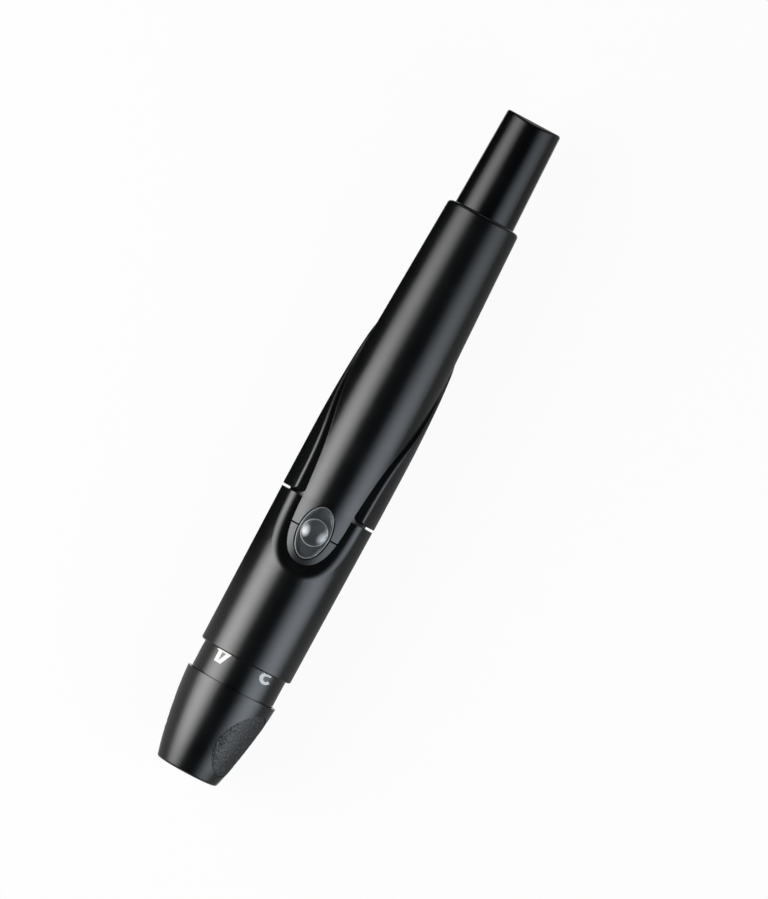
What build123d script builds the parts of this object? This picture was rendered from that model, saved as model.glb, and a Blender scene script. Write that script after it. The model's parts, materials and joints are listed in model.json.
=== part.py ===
"""Pen-shaped lancing device: pull-off cap with a depth dial, tapered housing and a spring drive inside.

The pen lies along Y on its back, nose towards -Y and release button up. Stations are measured along
the pen from the nose face, and heights from the pen's axis. All sizes are in millimetres.
"""

import os
from math import cos, hypot, radians, sin, sqrt

from build123d import *

# Lengths of the outside, from the nose to the plunger's end
nose_length = 15.0
ring_show = 4.6
cap_length = 26.9
seam_gap = 0.45
wing_length = 29.5
neck_length = 21.85
plunger_show = 16.7

# Clearances: sliding or turning, fixed fits, end faces and the line between housing and chassis
slide_gap = 0.1
fit_gap = 0.05
end_gap = 0.2
split_gap = 0.25

# Radius of the barrel, and the walls and steps of the housing, cap and plunger
barrel_r = 6.95
housing_wall = 1.35
cap_wall = 0.95
wing_stand = 0.05
seam_depth = 0.25
flange_stand = 0.4
plunger_taper = 0.45
plunger_wall = 0.55
collar_wall = 0.95

# Walls and steps of the dial and the lancet holder, from the outside in
nose_step = 0.6
cap_edge_wall = 0.62
ring_rise = 0.15
ring_step = 0.8
ring_relief_width = 0.25
ring_relief_depth = 0.25
spigot_wall = 0.6
dial_room = 0.3
guide_wall = 1.2
cup_wall = 1.6

# Nose cone: outline, lancet exit, grip ovals
nose_tip_r = 5.2
nose_bulge = 0.4
nose_edge_round = 0.45
front_wall = 1.5
exit_r = 2.2
nose_cavity_r = 4.1
nose_lip_depth = 0.4
ring_spigot_length = 4.5
grip_angle = 60.0
grip_length = 11.6
grip_width = 9.2
grip_depth = 0.12

# Depth dial: hidden length, turns inwards and outwards, screw pitch, click ring and its keys
ring_reach = 6.9
dial_in_turn = 132.0
dial_out_turn = 198.0
dial_pitch = 1.64
click_inset = 3.0
click_width = 2.0
click_depth = 0.55
click_slot = 1.2
key_width = 1.6
key_reach = 0.3

# Side view of the notch and wings: angles from the middle of the spine to its edge, and the tail's heights
notch_room = 1.0
notch_rise = 1.6
heel_angle = 29.3
seam_angle = 37.7
wing_waist = 7.5
waist_angle = 44.3
wing_hip = 12.4
hip_angle = 54.1
wing_shoulder = 16.4
shoulder_angle = 67.0
wing_tail = 21.0
tail_height = 1.2
wing_end_height = 0.2
wing_flat = 10.0
wing_ramp = 3.2
wing_ramp_stand = 0.46
spine_crown = 0.28
notch_round = 2.0
wing_round = 0.7
cap_edge_round = 0.3
collar_round = 0.6

# Narrow flat along the back of the cap and the wings, which the pen lies on
rest_depth = 0.2
rest_width = 5.0

# Cap guide rib on the back of the chassis
rib_width = 1.4
rib_depth = 0.35
rib_length = 8.0

# Release button, its lens, leaf spring and catch
button_length = 8.66
button_width = 5.2
button_setback = 4.1
button_travel = 0.5
lens_thickness = 1.05
lens_proud = 0.1
dome_r = 2.15
dome_rise = 0.6
button_play = 0.2
ear_length = 0.67
ear_width = 2.8
ear_play = 0.13
ear_thickness = 0.6
foot_height = 0.3
foot_length = 0.8
leaf_width = 1.8
leaf_thickness = 0.2
leaf_bow = 0.65
catch_width = 1.8
catch_arm_thickness = 0.5
catch_hub_r = 0.7
catch_pin_r = 0.4
catch_pivot_drop = 0.25
hook_length = 1.7
hook_top = 0.3
hook_drop = 0.5

# Front chassis: walls and stations
chassis_inset = 0.9
shoulder_room = 0.9
spigot_tube_wall = 0.75
cavity_step = 0.2
web_thickness = 1.4
web_room = 0.8
chassis_spigot_length = 11.6

# Lancet holder and its traveller
cup_inset = 0.5
cup_room = 3.2
cup_floor = 2.0
jaw_slit = 0.8
jaw_length = 6.6
jaw_ring_inset = 1.6
jaw_ring_width = 1.0
jaw_ring_depth = 0.4
key_rib_height = 0.55
key_rib_width = 1.2
release_room = 2.7
stem_overhang = 1.5
traveller_r = 0.6
stroke = 3.0

# Rotor with the cam slots that drive the holder
rotor_lead = 2.0
rotor_length = 12.6
rotor_wall = 2.5
cam_half_turn = 75.0
traveller_lead = 6.6
slot_play = 0.1
dog_length = 0.9
dog_width = 1.0
dog_height = 0.9
dog_angle = -170.0

# Tension sleeve, its bearing and clip
drive_spring_length = 6.4
drive_spring_turns = 4
drive_wire_width = 0.8
drive_wire_height = 0.5
tension_wall = 1.0
tension_flange = 0.9
tension_flange_width = 1.6
tension_tail = 2.0
axle_length = 11.0
bearing_width = 2.5
clip_width = 0.6
clip_groove = 0.5
clip_stand = 0.4
clip_opening = 60.0

# Plunger: travel, flange, mouth, drive pins and return spring
plunger_travel = 7.0
plunger_turn = 150.0
mouth_length = 7.8
flange_width = 1.5
pin_setback = 6.8
pin_r = 0.6
plunger_end_wall = 1.8
vault_rise = 0.6
plunger_edge_round = 0.4
return_spring_turns = 7
return_wire_r = 0.35

# Stations along the pen
nose_top = nose_length
cap_edge = nose_top + ring_show
cap_mouth = cap_edge + cap_length
wing_foot = cap_mouth + seam_gap
wing_top = wing_foot + wing_length
collar_end = wing_top + neck_length
overall_length = collar_end + plunger_show
button_station = cap_mouth - button_setback

# Radii worked out from the walls
ring_r = barrel_r + ring_rise
ring_spigot_r = ring_r - ring_step
ring_bore_r = ring_spigot_r - spigot_wall
chassis_nose_r = ring_bore_r - dial_room
guide_r = chassis_nose_r - guide_wall
cup_r = guide_r - slide_gap
socket_r = cup_r - cup_wall
nose_base_r = ring_r + nose_step
cap_low_bore_r = ring_r + slide_gap
cap_edge_r = cap_low_bore_r + cap_edge_wall
cap_bore_r = barrel_r + slide_gap
cap_mouth_r = cap_bore_r + cap_wall
wing_r = cap_mouth_r + wing_stand
housing_bore_r = barrel_r - housing_wall
spigot_r = housing_bore_r - fit_gap
spigot_bore_r = spigot_r - spigot_tube_wall
cavity_r = spigot_bore_r - cavity_step
stem_r = cavity_r - release_room
plunger_root_r = housing_bore_r - slide_gap - flange_stand
plunger_tip_r = plunger_root_r - plunger_taper
mouth_r = plunger_root_r + slide_gap
collar_r = mouth_r + collar_wall

# Heights of the release parts above the axis, from the button down to the catch's pivot
lens_base = barrel_r - lens_thickness
ear_top = sqrt(cavity_r**2 - (ear_width / 2) ** 2) - ear_play
carrier_floor = ear_top - ear_thickness
leaf_root = carrier_floor - leaf_bow
catch_arm_top = carrier_floor - foot_height - slide_gap
catch_pivot_height = catch_arm_top - catch_pivot_drop

# The pen's frame: the flat on its back lies on the floor
axis_height = wing_r - rest_depth
nose_y = -overall_length / 2
pen_axis = Axis((0, 0, axis_height), (0, 1, 0))
side_plane = Plane(origin=(0, nose_y, axis_height), x_dir=(0, 1, 0), z_dir=(1, 0, 0))


def flat_plane(station, height):
    """Plane that looks up at a station and a height above the axis: x across, y along the pen."""
    return Plane(origin=(0, nose_y + station, axis_height + height), x_dir=(1, 0, 0), z_dir=(0, 0, 1))


def cross_plane(station, angle=0.0):
    """Plane across the pen that looks towards the nose, its y axis turned by an angle from straight up."""
    turn = radians(angle)
    return Plane(
        origin=(0, nose_y + station, axis_height),
        x_dir=(cos(turn), 0, -sin(turn)),
        z_dir=(0, -1, 0),
    )


def radial_plane(station, angle=0.0):
    """Plane through the axis at a station that looks outwards at an angle from straight up towards +X."""
    turn = radians(angle)
    return Plane(
        origin=(0, nose_y + station, axis_height),
        x_dir=(cos(turn), 0, -sin(turn)),
        z_dir=(sin(turn), 0, cos(turn)),
    )


def turned(outline, mode=Mode.ADD):
    """Revolve a closed outline of (station, radius) points about the pen's axis."""
    with BuildSketch(side_plane) as section:
        with BuildLine():
            Polyline(*outline, close=True)
        make_face()
    revolve(section.sketch, axis=pen_axis, mode=mode)


def tube(start, end, inner_r, outer_r, mode=Mode.ADD):
    """Plain ring or disc between two stations."""
    turned([(start, inner_r), (start, outer_r), (end, outer_r), (end, inner_r)], mode)


def block(plane, width, length, low, high, shift=0.0, mode=Mode.ADD):
    """Rectangular block on a plane, moved along the plane's y axis, between two distances from it."""
    with BuildSketch(plane.offset(low)) as section:
        with Locations((0, shift)):
            Rectangle(width, length)
    extrude(section.sketch, amount=high - low, mode=mode)


def peg(plane, radius, low, high, mode=Mode.ADD):
    """Round pin or hole along a plane's normal, between two distances from the plane."""
    with BuildSketch(plane.offset(low)) as section:
        Circle(radius)
    extrude(section.sketch, amount=high - low, mode=mode)


def rest_flat(start, end):
    """Cut the flat that the pen lies on into a shell, between two stations."""
    flat_middle = radial_plane((start + end) / 2, 180)
    block(flat_middle, rest_width, end - start, axis_height, 2 * wing_r, mode=Mode.SUBTRACT)


def off_axis(edge):
    """Distance of an edge's middle from the pen's axis."""
    middle = edge @ 0.5
    return hypot(middle.X, middle.Z - axis_height)


def spine_radius(station):
    """Radius of the spine, which swells a little between the seam and the top of the wings."""
    part = min(max((station - wing_foot) / wing_length, 0), 1)
    return barrel_r + 4 * spine_crown * part * (1 - part)


def spine_edge(station, angle):
    """Station and height above the axis of the spine's edge, at an angle from the middle of the spine."""
    return (station, spine_radius(station) * cos(radians(angle)))


def helix_about_pen(station, radius, lead, turn, lefthand=False):
    """Helix that starts beside the axis on the +X side and runs towards the nose."""
    pitch = lead * 360 / turn
    return cross_plane(station).location * Helix(pitch, lead, radius, lefthand=lefthand, mode=Mode.PRIVATE)


def slot_leg(path, width, depth):
    """Bar of a rectangular section swept along a helix, its depth pointing at the pen's axis."""
    start = path @ 0
    outwards = Vector(start.X, 0, start.Z - axis_height)
    with BuildPart() as leg:
        with BuildSketch(Plane(origin=start, x_dir=outwards, z_dir=path % 0)) as section:
            Rectangle(depth, width)
        sweep(section.sketch, path=path, is_frenet=True)
    return leg.part


# The dial's nose: a barrel-shaped cone, hollow, with the hole that the lancet comes out of
ring_foot = nose_top - ring_spigot_length
nose_mid_r = (nose_tip_r + nose_base_r) / 2 + nose_bulge


def nose_outline(inset):
    """The nose's curved side, moved inwards."""
    return ThreePointArc(
        (0, nose_tip_r - inset),
        (nose_length / 2, nose_mid_r - inset),
        (nose_top, nose_base_r - inset),
    )


with BuildPart() as grip_skin:
    with BuildSketch(side_plane):
        with BuildLine():
            inner_side = nose_outline(grip_depth)
            outer_side = nose_outline(-grip_depth)
            Line(inner_side @ 0, outer_side @ 0)
            Line(inner_side @ 1, outer_side @ 1)
        make_face()
    revolve(axis=pen_axis)

with BuildPart() as grip_ovals:
    for angle in (grip_angle, grip_angle + 180):
        with BuildSketch(radial_plane(nose_length / 2, angle)) as oval:
            Ellipse(grip_width / 2, grip_length / 2)
        extrude(oval.sketch, amount=nose_base_r + nose_step)
    add(grip_skin.part, mode=Mode.INTERSECT)

with BuildPart() as nose_cone:
    with BuildSketch(side_plane):
        with BuildLine():
            side = nose_outline(0)
            Polyline(
                side @ 1,
                (nose_top, ring_r + slide_gap),
                (nose_top - nose_lip_depth, ring_r + slide_gap),
                (nose_top - nose_lip_depth, ring_spigot_r + fit_gap),
                (ring_foot - end_gap, ring_spigot_r + fit_gap),
                (ring_foot - end_gap, ring_bore_r),
                (front_wall, nose_cavity_r),
                (front_wall, exit_r),
                (0, exit_r),
                side @ 0,
            )
        make_face()
    revolve(axis=pen_axis)
    front_edges = nose_cone.edges().filter_by(GeomType.CIRCLE).group_by(Axis.Y)[0]
    fillet(front_edges.sort_by(SortBy.RADIUS)[-1], nose_edge_round)
    add(grip_ovals.part, mode=Mode.SUBTRACT)
nose_cone.part.label = "nose_cone"

# The dial's barrel that carries the numerals, pressed into the nose
ring_end = cap_edge + ring_reach
click_low = cap_edge + click_inset
click_high = click_low + click_width
click_floor_r = ring_r - click_depth
with BuildPart() as number_ring:
    turned(
        [
            (ring_foot, ring_bore_r),
            (ring_foot, ring_spigot_r),
            (nose_top - nose_lip_depth + fit_gap, ring_spigot_r),
            (nose_top - nose_lip_depth + fit_gap, ring_r - ring_relief_depth),
            (nose_top + ring_relief_width, ring_r - ring_relief_depth),
            (nose_top + ring_relief_width, ring_r),
            (click_low, ring_r),
            (click_low, click_floor_r),
            (click_high, click_floor_r),
            (click_high, ring_r),
            (ring_end, ring_r),
            (ring_end, ring_bore_r),
        ]
    )
number_ring.part.label = "number_ring"

# Split ring that rides in the dial's groove and is keyed to the cap, so that the dial screws in and out
key_r = cap_low_bore_r + key_reach
with BuildPart() as click_ring:
    tube(click_low + fit_gap, click_high - fit_gap, click_floor_r + fit_gap, ring_r)
    for angle in (90, -90):
        block(
            radial_plane((click_low + click_high) / 2, angle),
            key_width,
            click_width - 2 * fit_gap,
            ring_r - click_depth / 2,
            key_r,
        )
    click_middle = radial_plane((click_low + click_high) / 2, 180)
    block(click_middle, click_slot, click_width, 0, key_r, mode=Mode.SUBTRACT)
click_ring.part.label = "click_ring"

# Side view of the cut that opens the notch in the cap and frees the spine between the wings
notch_end = button_station - button_length / 2 - notch_room
side_curve_points = [
    (notch_end - 2 * notch_rise, cap_mouth_r + notch_rise),
    (notch_end, cap_bore_r),
    spine_edge(button_station - button_length / 4, heel_angle),
    spine_edge((cap_mouth + wing_foot) / 2, seam_angle),
    spine_edge(wing_foot + wing_waist, waist_angle),
    spine_edge(wing_foot + wing_hip, hip_angle),
    spine_edge(wing_foot + wing_shoulder, shoulder_angle),
    (wing_foot + wing_tail, tail_height),
    (wing_top + wing_ramp, wing_end_height),
]
with BuildPart() as front_cut:
    with BuildSketch(side_plane):
        with BuildLine():
            edge_line = Spline(*side_curve_points)
            ceiling = 2 * wing_r
            Polyline(
                edge_line @ 1,
                (side_curve_points[-1][0], ceiling),
                (side_curve_points[0][0], ceiling),
                edge_line @ 0,
            )
        make_face()
    extrude(amount=ceiling, both=True)

# Cap sleeve: plain round shell with the notch for the button, keyways for the dial and a guide rib
chassis_shoulder = ring_end + dial_pitch * dial_in_turn / 360 + shoulder_room
keyway_low = click_low - dial_pitch * dial_out_turn / 360 - end_gap
rib_top = button_station - split_gap / 2 - end_gap
with BuildPart() as cap_sleeve:
    turned(
        [
            (cap_edge, cap_low_bore_r),
            (cap_edge, cap_edge_r),
            (cap_mouth, cap_mouth_r),
            (cap_mouth, cap_bore_r),
            (chassis_shoulder - shoulder_room / 2, cap_bore_r),
            (chassis_shoulder - shoulder_room / 2, cap_low_bore_r),
        ]
    )
    add(front_cut.part, mode=Mode.SUBTRACT)
    notch_lip = cap_sleeve.faces().filter_by(GeomType.CONE).edges().filter_by(GeomType.BSPLINE)
    fillet(notch_lip, notch_round)
    cap_bottom = cap_sleeve.edges().filter_by(GeomType.CIRCLE).group_by(Axis.Y)[0]
    fillet(cap_bottom.sort_by(SortBy.RADIUS)[-1], cap_edge_round)
    rest_flat(cap_edge, cap_mouth)
    for angle in (90, -90):
        block(
            radial_plane((keyway_low + chassis_shoulder - shoulder_room / 2) / 2, angle),
            key_width + 2 * slide_gap,
            chassis_shoulder - shoulder_room / 2 - keyway_low,
            ring_r - click_depth,
            key_r + slide_gap,
            mode=Mode.SUBTRACT,
        )
    block(
        radial_plane(rib_top - rib_length / 2, 180),
        rib_width,
        rib_length,
        barrel_r - rib_depth,
        cap_bore_r + cap_wall / 2,
    )
cap_sleeve.part.label = "cap_sleeve"

# Stations of the release parts, the web and the lancet holder inside the chassis
button_half = button_length / 2
ear_end = button_half + ear_length
web_back = button_station - ear_end - web_room
web_front = web_back - web_thickness
pivot_station = button_station + ear_end + end_gap + catch_hub_r
rotor_front = pivot_station + rotor_lead
chassis_front = cap_edge + chassis_inset
spigot_end = button_station + chassis_spigot_length
cup_front = chassis_front + cup_inset
cup_back = web_front - cup_room
rib_r = cup_r + key_rib_height


def button_well(mode=Mode.SUBTRACT):
    """Oval hole that the release button slides in, from the cavity to the outside."""
    with BuildSketch(flat_plane(button_station, carrier_floor)) as oval:
        Ellipse(button_width / 2 + button_play, button_length / 2 + button_play)
    extrude(oval.sketch, amount=barrel_r, mode=mode)


# Front chassis: guides the lancet holder, carries the cap and holds the button and the catch
with BuildPart() as front_chassis:
    turned(
        [
            (chassis_front, guide_r),
            (chassis_front, chassis_nose_r),
            (chassis_shoulder, chassis_nose_r),
            (chassis_shoulder, barrel_r),
            (button_station - split_gap / 2, barrel_r),
            (button_station - split_gap / 2, spigot_r),
            (spigot_end, spigot_r),
            (spigot_end, spigot_bore_r),
            (rotor_front - end_gap, spigot_bore_r),
            (rotor_front - end_gap, cavity_r),
            (web_back, cavity_r),
            (web_back, stem_r + slide_gap),
            (web_front, stem_r + slide_gap),
            (web_front, guide_r),
        ]
    )
    for angle in (90, -90):
        block(
            radial_plane((chassis_front + web_front) / 2, angle),
            key_rib_width + 2 * slide_gap,
            web_front - chassis_front,
            guide_r - guide_wall / 2,
            rib_r + slide_gap,
            mode=Mode.SUBTRACT,
        )
    block(
        radial_plane((chassis_shoulder + button_station) / 2, 180),
        rib_width + 2 * slide_gap,
        button_station - chassis_shoulder,
        barrel_r - rib_depth - slide_gap,
        cap_mouth_r,
        mode=Mode.SUBTRACT,
    )
    button_well()
    peg(
        Plane(
            origin=(0, nose_y + pivot_station, axis_height + catch_pivot_height),
            x_dir=(0, 1, 0),
            z_dir=(1, 0, 0),
        ),
        catch_pin_r + fit_gap,
        -spigot_r,
        spigot_r,
        Mode.SUBTRACT,
    )
    block(
        flat_plane((web_front + web_back) / 2, leaf_root),
        leaf_width + 2 * fit_gap,
        web_thickness,
        -fit_gap,
        leaf_thickness + fit_gap,
        mode=Mode.SUBTRACT,
    )
front_chassis.part.label = "front_chassis"

# Wings: a round shell over the barrel, cut back to the side view and run out at the top
with BuildPart() as wings:
    with BuildSketch(side_plane):
        with BuildLine():
            straight = Line((wing_foot, wing_r), (wing_foot + wing_flat, wing_r))
            ramp_foot = (wing_top - wing_ramp, barrel_r + wing_ramp_stand)
            swell = TangentArc(straight @ 1, ramp_foot, tangent=(1, 0))
            ramp = TangentArc(swell @ 1, (wing_top, barrel_r - wing_stand), tangent=swell % 1)
            Polyline(
                ramp @ 1,
                (wing_top, barrel_r - housing_wall / 2),
                (wing_foot, barrel_r - housing_wall / 2),
                straight @ 0,
            )
        make_face()
    revolve(axis=pen_axis)
    add(front_cut.part, mode=Mode.SUBTRACT)
    cut_edges = wings.edges().filter_by(GeomType.BSPLINE)
    fillet(cut_edges.filter_by(lambda edge: off_axis(edge) > barrel_r - housing_wall / 4), wing_round)
    rest_flat(wing_foot, wing_top)

# Groove in the barrel under the seam, on both sides of the spine
with BuildPart() as seam_groove:
    tube(cap_mouth, wing_foot, barrel_r - seam_depth, barrel_r + seam_depth)
    add(front_cut.part, mode=Mode.SUBTRACT)

# Rear housing: spine and barrel in one with the wings, the collar at the top and the plunger's mouth
mouth_low = collar_end - mouth_length
with BuildPart() as rear_housing:
    with BuildSketch(side_plane):
        with BuildLine():
            Polyline(
                (wing_foot, barrel_r),
                (button_station + split_gap / 2, barrel_r),
                (button_station + split_gap / 2, 0),
                (collar_end, 0),
                (collar_end, collar_r),
                (wing_top, barrel_r),
            )
            ThreePointArc(
                (wing_top, barrel_r),
                ((wing_foot + wing_top) / 2, barrel_r + spine_crown),
                (wing_foot, barrel_r),
            )
        make_face()
    revolve(axis=pen_axis)
    collar_edge = rear_housing.edges().filter_by(GeomType.CIRCLE).group_by(Axis.Y)[-1]
    fillet(collar_edge, collar_round)
    add(wings.part)
    add(seam_groove.part, mode=Mode.SUBTRACT)
    turned(
        [
            (button_station, 0),
            (button_station, housing_bore_r),
            (mouth_low, housing_bore_r),
            (mouth_low, mouth_r),
            (collar_end + end_gap, mouth_r),
            (collar_end + end_gap, 0),
        ],
        Mode.SUBTRACT,
    )
    button_well()
rear_housing.part.label = "rear_housing"

# Release button: oval carrier with an ear at each end and a foot over the catch
foot_station = button_station + button_half - foot_length / 2
with BuildPart() as release_button:
    with BuildSketch(flat_plane(button_station, carrier_floor)):
        Ellipse(button_width / 2, button_length / 2)
    extrude(amount=lens_base - carrier_floor)
    block(flat_plane(button_station, 0), ear_width, 2 * ear_end, carrier_floor, ear_top)
    block(flat_plane(foot_station, 0), catch_width, foot_length, carrier_floor - foot_height, carrier_floor)
release_button.part.label = "release_button"

# Clear lens on the carrier, rounded with the barrel, with a round dome in the middle
lens_r = barrel_r + lens_proud
dome_top = lens_r + dome_rise
dome_ball_r = (dome_r**2 + dome_rise**2) / (2 * dome_rise)
with BuildPart() as dome:
    with Locations((0, nose_y + button_station, axis_height + dome_top - dome_ball_r)):
        Sphere(dome_ball_r)
    with BuildSketch(flat_plane(button_station, lens_base + lens_proud)) as dome_round:
        Circle(dome_r)
    extrude(dome_round.sketch, amount=barrel_r, mode=Mode.INTERSECT)

with BuildPart() as button_lens:
    with BuildSketch(flat_plane(button_station, lens_base + fit_gap)):
        Ellipse(button_width / 2, button_length / 2)
    extrude(amount=barrel_r)
    tube(button_station - button_length, button_station + button_length, 0, lens_r, Mode.INTERSECT)
    add(dome.part)
button_lens.part.label = "button_lens"

# Leaf spring: held in the chassis web and bent up under the carrier
leaf_tip = button_station - foot_length
with BuildPart() as button_spring:
    with BuildSketch(side_plane):
        with BuildLine():
            Polyline(
                (web_front + fit_gap, leaf_root),
                (web_back + end_gap, leaf_root),
                (leaf_tip, carrier_floor - fit_gap - leaf_thickness),
                (leaf_tip, carrier_floor - fit_gap),
                (web_back + end_gap, leaf_root + leaf_thickness),
                (web_front + fit_gap, leaf_root + leaf_thickness),
                close=True,
            )
        make_face()
    extrude(amount=leaf_width / 2, both=True)
button_spring.part.label = "button_spring"

# Catch: lever with an arm under the button's foot and a hook in front of the rotor
arm_tip = foot_station - foot_length / 2 - end_gap
pivot_plane = Plane(
    origin=(0, nose_y + pivot_station, axis_height + catch_pivot_height),
    x_dir=(0, 1, 0),
    z_dir=(1, 0, 0),
)
with BuildPart() as release_catch:
    with BuildSketch(side_plane):
        with BuildLine():
            Polyline(
                (arm_tip, catch_arm_top - catch_arm_thickness),
                (arm_tip, catch_arm_top),
                (pivot_station, catch_arm_top),
                (pivot_station + hook_length, catch_pivot_height + hook_top),
                (pivot_station + hook_length, catch_pivot_height - hook_drop),
                (pivot_station, catch_arm_top - catch_arm_thickness),
                close=True,
            )
        make_face()
    extrude(amount=catch_width / 2, both=True)
    peg(pivot_plane, catch_hub_r, -catch_width / 2, catch_width / 2)
    peg(pivot_plane, catch_pin_r + slide_gap, -catch_width, catch_width, Mode.SUBTRACT)
release_catch.part.label = "release_catch"

# Pivot of the catch, its ends in the chassis walls
pin_half = sqrt(spigot_r**2 - (catch_pivot_height + catch_pin_r) ** 2) - fit_gap
with BuildPart() as catch_pin:
    peg(pivot_plane, catch_pin_r, -pin_half, pin_half)
catch_pin.part.label = "catch_pin"

# Lancet holder: slit cup with two keys, and the stem that carries the traveller
traveller_station = rotor_front + traveller_lead
stem_end = traveller_station + stem_overhang
socket_floor = cup_back - cup_floor
jaw_ring_low = cup_front + jaw_ring_inset
with BuildPart() as lancet_holder:
    turned(
        [
            (cup_front, socket_r),
            (cup_front, cup_r),
            (jaw_ring_low, cup_r),
            (jaw_ring_low, cup_r - jaw_ring_depth),
            (jaw_ring_low + jaw_ring_width, cup_r - jaw_ring_depth),
            (jaw_ring_low + jaw_ring_width, cup_r),
            (cup_back, cup_r),
            (cup_back, stem_r),
            (stem_end, stem_r),
            (stem_end, 0),
            (socket_floor, 0),
            (socket_floor, socket_r),
        ]
    )
    for angle in (90, -90):
        block(
            radial_plane((jaw_ring_low + 2 * jaw_ring_width + cup_back) / 2, angle),
            key_rib_width,
            cup_back - jaw_ring_low - 2 * jaw_ring_width,
            (socket_r + cup_r) / 2,
            rib_r,
        )
    block(
        radial_plane(cup_front + jaw_length / 2, 0),
        jaw_slit,
        jaw_length,
        -2 * cup_r,
        2 * cup_r,
        mode=Mode.SUBTRACT,
    )
    peg(radial_plane(traveller_station, 90), traveller_r + fit_gap / 2, -cup_r, cup_r, Mode.SUBTRACT)
lancet_holder.part.label = "lancet_holder"

# Band that presses the holder's jaws together
with BuildPart() as jaw_ring:
    tube(
        jaw_ring_low + fit_gap,
        jaw_ring_low + jaw_ring_width - fit_gap,
        cup_r - jaw_ring_depth + fit_gap,
        cup_r - fit_gap,
    )
jaw_ring.part.label = "jaw_ring"

# Cross pin through the stem, its ends in the rotor's cam slots
rotor_r = spigot_bore_r - slide_gap
with BuildPart() as traveller_pin:
    peg(radial_plane(traveller_station, 90), traveller_r, -rotor_r + end_gap, rotor_r - end_gap)
traveller_pin.part.label = "traveller_pin"

# Rotor: tube with two bent cam slots, that push the traveller forward and draw it back
rotor_back = rotor_front + rotor_length
rotor_bore_r = rotor_r - rotor_wall
cam_r = (rotor_bore_r + rotor_r) / 2
cam_width = 2 * (traveller_r + slot_play)
cam_depth = rotor_wall + 1
with BuildPart() as drive_rotor:
    tube(rotor_front, rotor_back, rotor_bore_r, rotor_r)
    block(
        radial_plane(rotor_front - dog_length / 2, dog_angle),
        dog_width,
        dog_length + end_gap,
        rotor_bore_r + end_gap,
        rotor_bore_r + end_gap + dog_height,
        shift=end_gap / 2,
    )
    forward_leg = helix_about_pen(traveller_station, cam_r, stroke, cam_half_turn)
    for half in (0, 180):
        add(slot_leg(forward_leg, cam_width, cam_depth).rotate(pen_axis, half), mode=Mode.SUBTRACT)
        back_line = helix_about_pen(traveller_station, cam_r, stroke, cam_half_turn, True)
        back_leg = slot_leg(back_line, cam_width, cam_depth)
        add(back_leg.rotate(pen_axis, half - 2 * cam_half_turn), mode=Mode.SUBTRACT)
        for turn, lead in ((0, 0), (cam_half_turn, stroke), (2 * cam_half_turn, 0)):
            peg(
                radial_plane(traveller_station - lead, 90 - half - turn),
                cam_width / 2,
                rotor_bore_r - 0.5,
                rotor_r + 0.5,
                Mode.SUBTRACT,
            )
drive_rotor.part.label = "drive_rotor"

# Tension sleeve: axle in the rotor, flange, and two helical slots that the plunger's pins turn it by
tension_front = rotor_back + drive_spring_length + 2 * end_gap
plunger_bore_r = plunger_tip_r - plunger_wall
tension_r = plunger_bore_r - 2 * slide_gap
tension_bore_r = tension_r - tension_wall
tension_flange_r = tension_r + tension_flange
pin_station = collar_end - pin_setback
tension_back = pin_station + tension_tail
bearing_low = tension_front + tension_flange_width + end_gap
bearing_high = bearing_low + bearing_width
clip_low = bearing_high + end_gap
clip_high = clip_low + clip_width
axle_front = tension_front - axle_length
helix_r = (tension_bore_r + tension_r) / 2
helix_width = 2 * (pin_r + slot_play)
with BuildPart() as tension_sleeve:
    turned(
        [
            (axle_front, 0),
            (axle_front, rotor_bore_r - slide_gap),
            (tension_front, rotor_bore_r - slide_gap),
            (tension_front, tension_flange_r),
            (tension_front + tension_flange_width, tension_flange_r),
            (tension_front + tension_flange_width, tension_r),
            (clip_low - fit_gap, tension_r),
            (clip_low - fit_gap, tension_r - clip_groove),
            (clip_high + fit_gap, tension_r - clip_groove),
            (clip_high + fit_gap, tension_r),
            (tension_back, tension_r),
            (tension_back, tension_bore_r),
            (tension_front + tension_flange_width, tension_bore_r),
            (tension_front + tension_flange_width, 0),
        ]
    )
    screw_line = helix_about_pen(pin_station, helix_r, plunger_travel, plunger_turn)
    for half in (0, 180):
        add(slot_leg(screw_line, helix_width, tension_wall + 1).rotate(pen_axis, half), mode=Mode.SUBTRACT)
        for turn, lead in ((0, 0), (plunger_turn, plunger_travel)):
            peg(
                radial_plane(pin_station - lead, 90 - half - turn),
                helix_width / 2 + fit_gap / 2,
                tension_bore_r - 0.5,
                tension_r + 0.5,
                Mode.SUBTRACT,
            )
tension_sleeve.part.label = "tension_sleeve"

# Bearing ring of the tension sleeve, fixed in the housing's bore
with BuildPart() as rear_bearing:
    tube(bearing_low, bearing_high, tension_r + slide_gap, housing_bore_r - fit_gap)
rear_bearing.part.label = "rear_bearing"

# Open clip behind the bearing
with BuildPart() as sleeve_clip:
    tube(clip_low, clip_high, tension_r - clip_groove + fit_gap, tension_r + clip_stand)
    with BuildSketch(cross_plane(clip_high + end_gap, 180)) as opening:
        with BuildLine():
            reach = 2 * tension_r
            across = reach * sin(radians(clip_opening / 2))
            along = reach * cos(radians(clip_opening / 2))
            Polyline((0, 0), (-across, along), (across, along), close=True)
        make_face()
    extrude(opening.sketch, amount=clip_width + 2 * end_gap, mode=Mode.SUBTRACT)
sleeve_clip.part.label = "sleeve_clip"

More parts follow.
